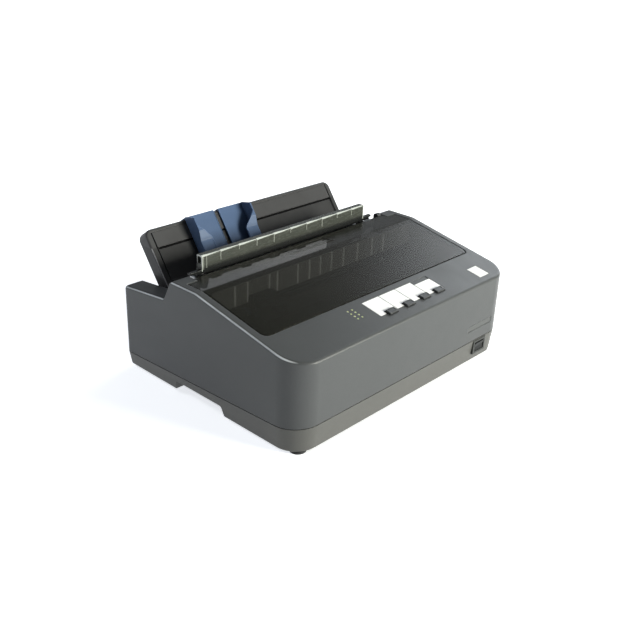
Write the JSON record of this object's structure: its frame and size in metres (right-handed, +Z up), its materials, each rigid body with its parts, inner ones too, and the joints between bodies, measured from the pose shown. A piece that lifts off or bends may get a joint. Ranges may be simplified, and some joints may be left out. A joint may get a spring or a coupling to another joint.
{
  "type": "dot matrix printer",
  "caption": "Desktop narrow-carriage dot matrix printer with hinged smoked cover, paper tension bar, tilting paper guide with edge guides, rear tractors and a working paper feed and carriage.",
  "frame": {"origin": "centre of the outline at the level the rubber feet stand on", "axes": "+Z up, front face with the control panel towards -Y, width along X"},
  "size_m": [0.362, 0.2905, 0.165],
  "materials": {
    "case_upper": "fine moulded grain, dark blue-grey",
    "case_lower": "fine moulded grain, dark warm grey",
    "rubber_black": "matt",
    "steel": "bright zinc plated",
    "ground_steel": "ground and polished",
    "label_white": "satin film",
    "lamp": "clear green tint",
    "badge_grey": "satin",
    "button_grey": "fine grain",
    "board_green": "solder mask",
    "black_plastic": "fine grain",
    "cover_smoke": "smoked translucent, polished",
    "bar_smoke": "smoked translucent, ribbed",
    "guide_grey": "fine grain",
    "guide_blue": "satin slate blue",
    "platen_rubber": "ground",
    "gear_white": "acetal",
    "brass": "turned",
    "ribbon_black": "inked nylon",
    "port_metal": "plated",
    "transformer": "varnished",
    "motor_black": "satin",
    "lever_blue": "satin"
  },
  "bodies": {
    "case": {"lower_case": "case_lower", "upper_case": "case_upper", "rubber_feet": "rubber_black", "assembly_screws": "steel", "panel_label": "label_white", "status_lights": "lamp", "name_badge": "badge_grey", "info_sticker": "label_white", "panel_board": "board_green", "power_switch_body": "black_plastic", "chassis": "steel", "side_frame_left": "steel", "side_frame_right": "steel", "feed_motor": "motor_black", "paper_pan": "black_plastic", "guide_shaft": "ground_steel", "carriage_motor": "motor_black", "timing_belt": "rubber_black", "ribbon_cartridge": "black_plastic", "ribbon": "ribbon_black", "tractor_guide_shaft": "ground_steel", "main_board": "board_green", "power_supply": "transformer", "ac_inlet": "black_plastic", "parallel_port": "port_metal", "serial_port": "port_metal", "usb_port": "port_metal"},
    "cover": {"printer_cover": "cover_smoke"},
    "tension_bar": {"tension_unit": "bar_smoke"},
    "exit_roller": {"tension_roller": "black_plastic"},
    "guide": {"paper_guide": "guide_grey"},
    "left_edge_guide": {"edge_guide_left": "guide_blue"},
    "right_edge_guide": {"edge_guide_right": "guide_blue"},
    "platen": {"platen_roller": "platen_rubber", "platen_shaft": "ground_steel", "platen_knob": "button_grey", "platen_gear": "gear_white"},
    "reduction": {"reduction_gear": "gear_white"},
    "idler": {"tractor_idler_gear": "gear_white"},
    "feed_rotor": {"feed_motor_pinion": "brass"},
    "pressure_roller_shaft": {"pressure_rollers": "rubber_black"},
    "tractor_shaft": {"tractor_drive_shaft": "ground_steel"},
    "left_tractor": {"tractor_left": "black_plastic"},
    "right_tractor": {"tractor_right": "black_plastic"},
    "left_sprocket": {"tractor_sprocket_left": "gear_white"},
    "right_sprocket": {"tractor_sprocket_right": "gear_white"},
    "left_flap": {"tractor_flap_left": "button_grey"},
    "right_flap": {"tractor_flap_right": "button_grey"},
    "release": {"release_lever": "black_plastic"},
    "head_gap": {"thickness_lever": "lever_blue"},
    "carriage_body": {"carriage": "black_plastic", "print_head": "motor_black"},
    "carriage_rotor": {"drive_pulley": "brass"},
    "belt_idler": {"idler_pulley": "gear_white"},
    "ribbon_wheel": {"ribbon_knob": "button_grey"},
    "pause_key": {"pause_button": "button_grey"},
    "tear_off_key": {"tear_off_button": "button_grey"},
    "line_feed_key": {"line_feed_button": "button_grey"},
    "font_key": {"font_button": "button_grey"},
    "switch_rocker": {"power_rocker": "black_plastic"}
  },
  "joints": [
    {"name": "cover_hinge", "type": "hinge", "parent": "case", "child": "cover", "pos_m": [0, 0.02517, 0.1304], "axis": [-1, 0, 0], "range_deg": [0, 80]},
    {"name": "tension_bar_tilt", "type": "hinge", "parent": "case", "child": "tension_bar", "pos_m": [0, 0.04817, 0.117], "axis": [-1, 0, 0], "range_deg": [0, 60]},
    {"name": "exit_roller_spin", "type": "hinge", "parent": "tension_bar", "child": "exit_roller", "pos_m": [0, 0.04367, 0.124], "axis": [1, 0, 0], "continuous": true},
    {"name": "guide_tilt", "type": "hinge", "parent": "case", "child": "guide", "pos_m": [0, 0.09417, 0.099], "axis": [-1, 0, 0], "range_deg": [0, 44]},
    {"name": "left_edge_slide", "type": "slide", "parent": "guide", "child": "left_edge_guide", "axis": [1, 0, 0], "range_m": [-0.05, 0]},
    {"name": "right_edge_slide", "type": "slide", "parent": "guide", "child": "right_edge_guide", "axis": [1, 0, 0], "range_m": [0, 0.14]},
    {"name": "platen_turn", "type": "hinge", "parent": "case", "child": "platen", "pos_m": [0, 0.03417, 0.094], "axis": [1, 0, 0], "continuous": true},
    {"name": "reduction_turn", "type": "hinge", "parent": "case", "child": "reduction", "pos_m": [0, 0.02319, 0.07044], "axis": [1, 0, 0], "continuous": true},
    {"name": "idler_turn", "type": "hinge", "parent": "case", "child": "idler", "pos_m": [0, 0.05424, 0.07995], "axis": [1, 0, 0], "continuous": true},
    {"name": "feed_motor_turn", "type": "hinge", "parent": "case", "child": "feed_rotor", "pos_m": [0, 0.0258, 0.04055], "axis": [1, 0, 0], "continuous": true},
    {"name": "pressure_roller_turn", "type": "hinge", "parent": "case", "child": "pressure_roller_shaft", "pos_m": [0, 0.02747, 0.07558], "axis": [1, 0, 0], "continuous": true},
    {"name": "tractor_shaft_turn", "type": "hinge", "parent": "case", "child": "tractor_shaft", "pos_m": [0, 0.07677, 0.06417], "axis": [1, 0, 0], "continuous": true},
    {"name": "left_tractor_slide", "type": "slide", "parent": "case", "child": "left_tractor", "axis": [1, 0, 0], "range_m": [0, 0.06]},
    {"name": "right_tractor_slide", "type": "slide", "parent": "case", "child": "right_tractor", "axis": [1, 0, 0], "range_m": [-0.085, 0]},
    {"name": "left_sprocket_turn", "type": "hinge", "parent": "left_tractor", "child": "left_sprocket", "pos_m": [-0.112, 0.07677, 0.06417], "axis": [1, 0, 0], "continuous": true},
    {"name": "right_sprocket_turn", "type": "hinge", "parent": "right_tractor", "child": "right_sprocket", "pos_m": [0.112, 0.07677, 0.06417], "axis": [1, 0, 0], "continuous": true},
    {"name": "left_flap_hinge", "type": "hinge", "parent": "left_tractor", "child": "left_flap", "pos_m": [-0.1237, 0.07617, 0.08337], "axis": [0, -1, 0], "range_deg": [0, 100]},
    {"name": "right_flap_hinge", "type": "hinge", "parent": "right_tractor", "child": "right_flap", "pos_m": [0.1237, 0.07617, 0.08337], "axis": [0, 1, 0], "range_deg": [0, 100]},
    {"name": "release_lever_swing", "type": "hinge", "parent": "case", "child": "release", "pos_m": [0.15, 0.06117, 0.088], "axis": [-1, 0, 0], "range_deg": [0, 18]},
    {"name": "head_gap_swing", "type": "hinge", "parent": "case", "child": "head_gap", "pos_m": [-0.14, -0.00383, 0.07], "axis": [-1, 0, 0], "range_deg": [-6, 12]},
    {"name": "carriage_travel", "type": "slide", "parent": "case", "child": "carriage_body", "axis": [1, 0, 0], "range_m": [0, 0.196]},
    {"name": "carriage_motor_turn", "type": "hinge", "parent": "case", "child": "carriage_rotor", "pos_m": [-0.122, -0.02583, 0.07], "axis": [0, 0, 1], "range_deg": [-1520, 5]},
    {"name": "belt_idler_turn", "type": "hinge", "parent": "case", "child": "belt_idler", "pos_m": [0.122, -0.02583, 0.07], "axis": [0, 0, 1], "range_deg": [-1520, 5]},
    {"name": "ribbon_knob_turn", "type": "hinge", "parent": "case", "child": "ribbon_wheel", "pos_m": [-0.104, -0.03983, 0.11], "axis": [0, 0, 1], "continuous": true},
    {"name": "pause_press", "type": "slide", "parent": "case", "child": "pause_key", "axis": [0, 0.1933, -0.9811], "range_m": [0, 0.001], "stiffness_N_per_m": 300, "springref_m": -0.0003},
    {"name": "tear_off_press", "type": "slide", "parent": "case", "child": "tear_off_key", "axis": [0, 0.1933, -0.9811], "range_m": [0, 0.001], "stiffness_N_per_m": 300, "springref_m": -0.0003},
    {"name": "line_feed_press", "type": "slide", "parent": "case", "child": "line_feed_key", "axis": [0, 0.1933, -0.9811], "range_m": [0, 0.001], "stiffness_N_per_m": 300, "springref_m": -0.0003},
    {"name": "font_press", "type": "slide", "parent": "case", "child": "font_key", "axis": [0, 0.1933, -0.9811], "range_m": [0, 0.001], "stiffness_N_per_m": 300, "springref_m": -0.0003},
    {"name": "power_rock", "type": "hinge", "parent": "case", "child": "switch_rocker", "pos_m": [0.1305, -0.14083, 0.0218], "axis": [-1, 0, 0], "range_deg": [0, 12]}
  ],
  "couplings": [
    {"joint": "reduction_turn", "follows": "platen_turn", "ratio": -2.25},
    {"joint": "feed_motor_turn", "follows": "platen_turn", "ratio": 9},
    {"joint": "idler_turn", "follows": "platen_turn", "ratio": -2.7692},
    {"joint": "tractor_shaft_turn", "follows": "platen_turn", "ratio": 0.85714},
    {"joint": "left_sprocket_turn", "follows": "platen_turn", "ratio": 0.85714},
    {"joint": "right_sprocket_turn", "follows": "platen_turn", "ratio": 0.85714},
    {"joint": "pressure_roller_turn", "follows": "platen_turn", "ratio": -2.5455},
    {"joint": "carriage_motor_turn", "follows": "carriage_travel", "rad_per_m": -133.33},
    {"joint": "belt_idler_turn", "follows": "carriage_travel", "rad_per_m": -133.33}
  ]
}
